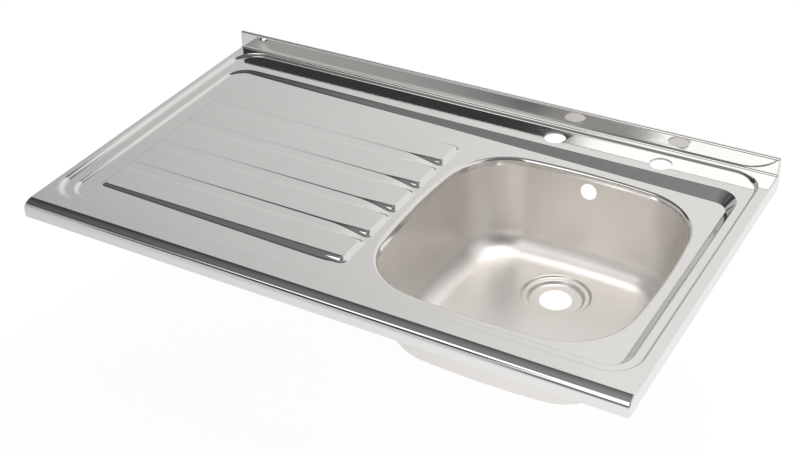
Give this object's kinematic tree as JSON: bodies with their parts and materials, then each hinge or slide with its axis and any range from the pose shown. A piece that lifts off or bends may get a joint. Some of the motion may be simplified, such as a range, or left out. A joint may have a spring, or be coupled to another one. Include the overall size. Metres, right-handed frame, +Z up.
{
  "type": "kitchen sink with drainboard",
  "caption": "Lay-on stainless kitchen sink: one bowl on the right, a ribbed drainer on the left, an upstand along the back and punched tap holes.",
  "frame": {"origin": "in the cabinet seat, the plane on which the battens under the rim stand, at the middle of the front batten", "axes": "+X to the right, from the drainer to the bowl; +Y to the wall; +Z up"},
  "size_m": [1, 0.6, 0.2099],
  "materials": {
    "polished_steel": "polished",
    "satin_steel": "satin",
    "weld_steel": "matte",
    "plated_steel": "zinc plated",
    "screw_steel": "zinc plated",
    "damping_pad": "matte",
    "timber": "sawn"
  },
  "bodies": {
    "root": {"deck_sheet": "polished_steel", "bowl_shell": "satin_steel", "bowl_seam_weld": "weld_steel", "tap_hole_plate": "plated_steel", "drainer_channel_1": "plated_steel", "drainer_channel_2": "plated_steel", "drainer_channel_3": "plated_steel", "drainer_pad_1": "damping_pad", "drainer_pad_2": "damping_pad", "bowl_base_pad": "damping_pad", "bowl_side_pad_left": "damping_pad", "bowl_side_pad_right": "damping_pad", "front_batten": "timber", "rear_batten": "timber", "left_batten": "timber", "right_batten": "timber", "fixing_plate_front_left": "plated_steel", "fixing_plate_front_right": "plated_steel", "fixing_plate_rear_left": "plated_steel", "fixing_plate_rear_right": "plated_steel", "fixing_plate_screws": "screw_steel"}
  },
  "joints": []
}
